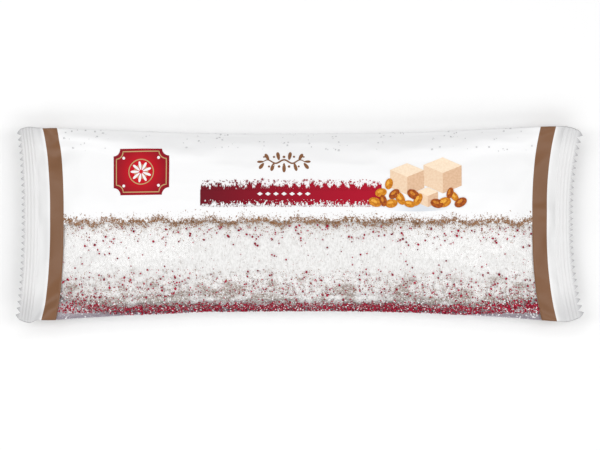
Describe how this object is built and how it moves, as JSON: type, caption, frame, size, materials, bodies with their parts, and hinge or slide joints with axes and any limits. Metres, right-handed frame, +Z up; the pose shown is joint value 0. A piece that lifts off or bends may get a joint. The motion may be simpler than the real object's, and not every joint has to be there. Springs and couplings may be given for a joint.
{
  "type": "stollen loaf in a film pack",
  "caption": "Sugar-dusted stollen loaf sealed in a long printed film pack with crimped zigzag ends and a clear window, lying on its back.",
  "frame": {"origin": "on the table, under the middle of the pack", "axes": "+X along the pack towards the right-hand end seal as its print is read, +Y across it towards the upper edge of the print, +Z up through the shown side"},
  "size_m": [0.385, 0.133, 0.0355],
  "materials": {
    "film": "satin",
    "clear_film": "gloss",
    "loaf": "matt, powdered",
    "brown_print": "satin",
    "red_print": "satin",
    "pale_print": "satin"
  },
  "bodies": {
    "root": {"stollen_pack": "film"}
  },
  "joints": []
}
